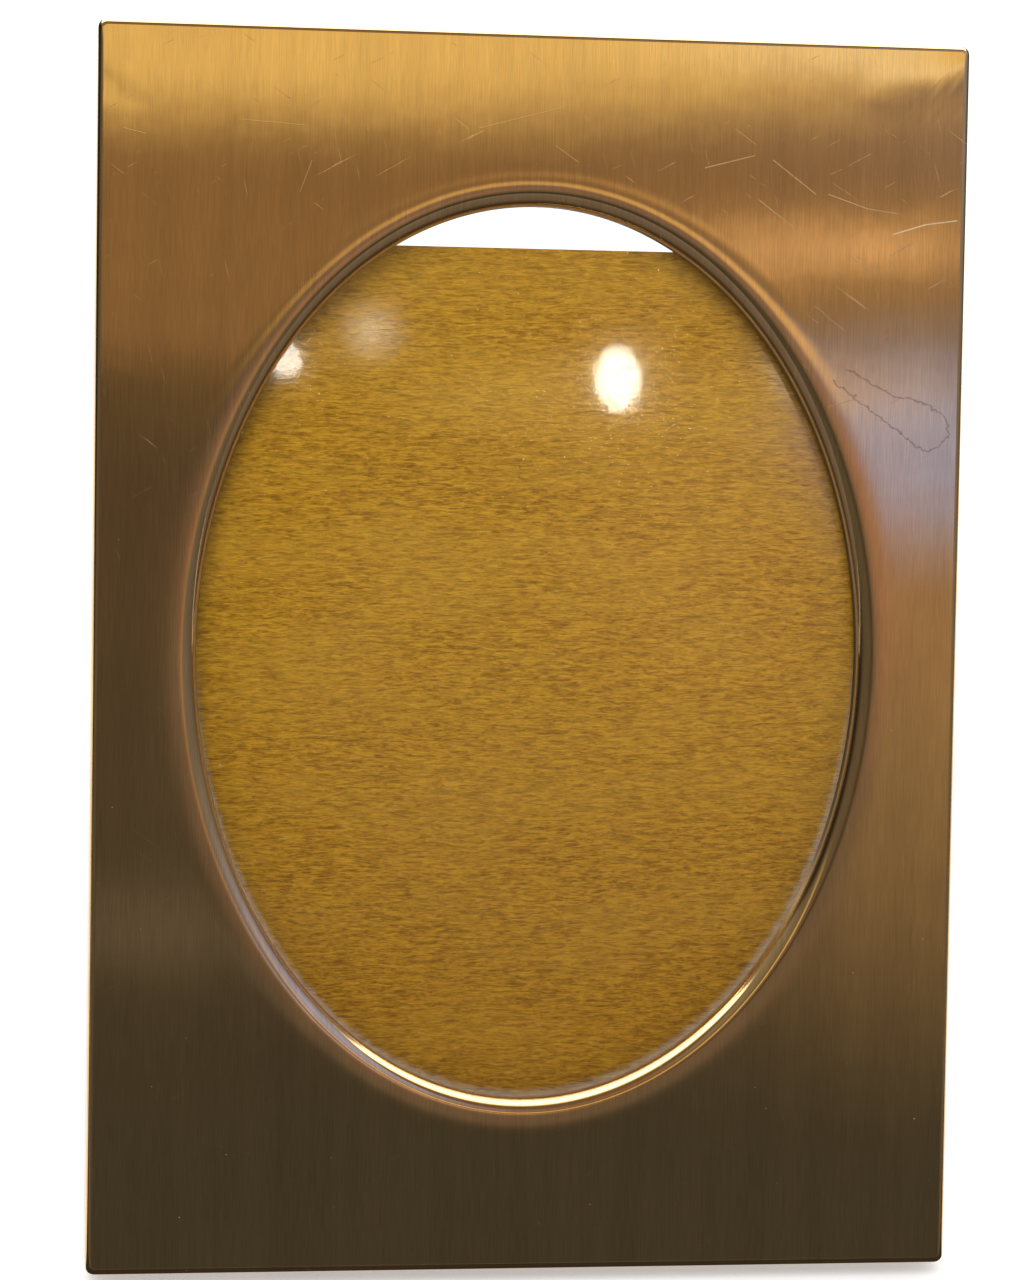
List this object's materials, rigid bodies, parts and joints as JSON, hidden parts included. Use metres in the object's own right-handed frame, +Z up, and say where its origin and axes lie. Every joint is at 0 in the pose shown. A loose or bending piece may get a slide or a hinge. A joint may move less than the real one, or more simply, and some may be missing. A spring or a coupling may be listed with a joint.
{
  "type": "picture frame",
  "caption": "Small pressed brass picture frame with a round-lipped oval window, standing on a hinged easel strut, with a pane, card and board that slide out upwards.",
  "frame": {"origin": "under the centre of the whole box, on the surface that the frame stands on", "axes": "+Z up; the face looks towards -Y and leans back towards +Y; +X is on the viewer's right"},
  "size_m": [0.091, 0.0498, 0.1267],
  "materials": {
    "brass": "satin",
    "glass": "gloss",
    "strawboard": "matte",
    "hardboard": "matte",
    "cover_paper": "matte",
    "hinge_steel": "satin"
  },
  "bodies": {
    "shell": {"shell": "brass"},
    "pane": {"pane": "glass"},
    "card": {"backing_card": "strawboard"},
    "back": {"back_board": "hardboard", "back_cover": "cover_paper", "hinge_fixed_leaf": "hinge_steel", "hinge_pin": "hinge_steel", "board_rivets": "hinge_steel"},
    "strut": {"strut_lining": "cover_paper", "strut_board": "hardboard", "strut_cover": "cover_paper", "hinge_moving_leaf": "hinge_steel", "strut_rivets": "hinge_steel"}
  },
  "joints": [
    {"name": "pane_slide", "type": "slide", "parent": "shell", "child": "pane", "axis": [0, 0.2541, 0.9672], "range_m": [0, 0.134]},
    {"name": "card_slide", "type": "slide", "parent": "shell", "child": "card", "axis": [0, 0.2541, 0.9672], "range_m": [0, 0.134]},
    {"name": "back_slide", "type": "slide", "parent": "shell", "child": "back", "axis": [0, 0.2541, 0.9672], "range_m": [0, 0.134]},
    {"name": "strut_swing", "type": "hinge", "parent": "back", "child": "strut", "pos_m": [0, 0.00535, 0.07886], "axis": [1, 0, 0], "range_deg": [-28, 0]}
  ]
}
